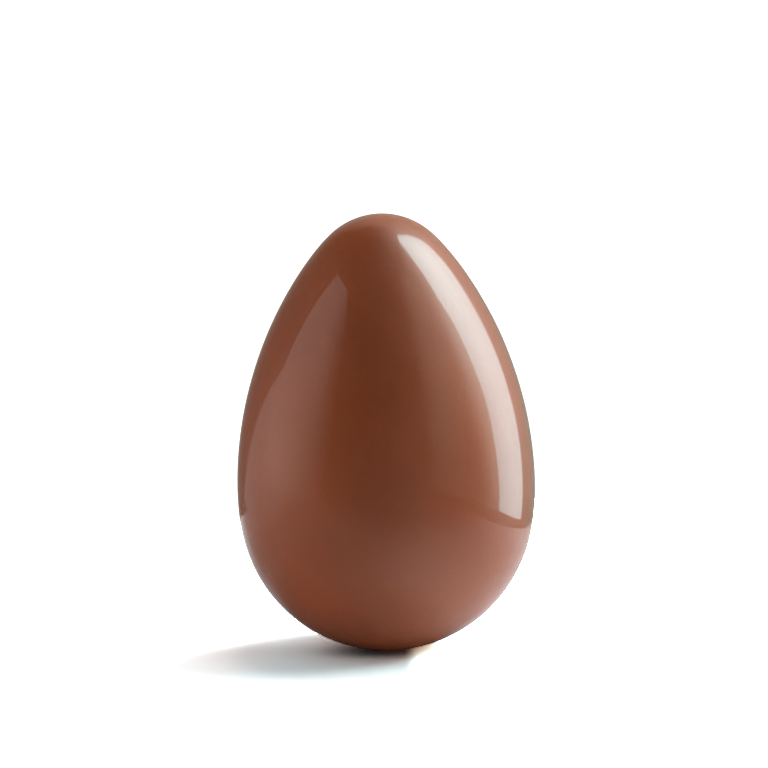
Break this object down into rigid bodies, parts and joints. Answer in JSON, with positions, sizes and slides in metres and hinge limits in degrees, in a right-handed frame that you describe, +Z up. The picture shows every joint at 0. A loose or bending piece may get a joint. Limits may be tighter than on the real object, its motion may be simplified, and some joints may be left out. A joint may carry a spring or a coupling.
{
  "type": "chocolate egg",
  "caption": "Moulded milk chocolate egg with a smooth glossy surface, standing upright on a small flat foot at its blunt end.",
  "frame": {"origin": "centre of the small flat foot under the blunt end, on the surface that the egg stands on", "axes": "+Z up along the egg's long axis, from the blunt end to the pointed end; the egg is round about it, so X and Y are alike"},
  "size_m": [0.0818, 0.0818, 0.12],
  "materials": {
    "milk_chocolate": "glossy tempered milk chocolate, as it leaves a polished mould"
  },
  "bodies": {
    "root": {"egg": "milk_chocolate"}
  },
  "joints": []
}
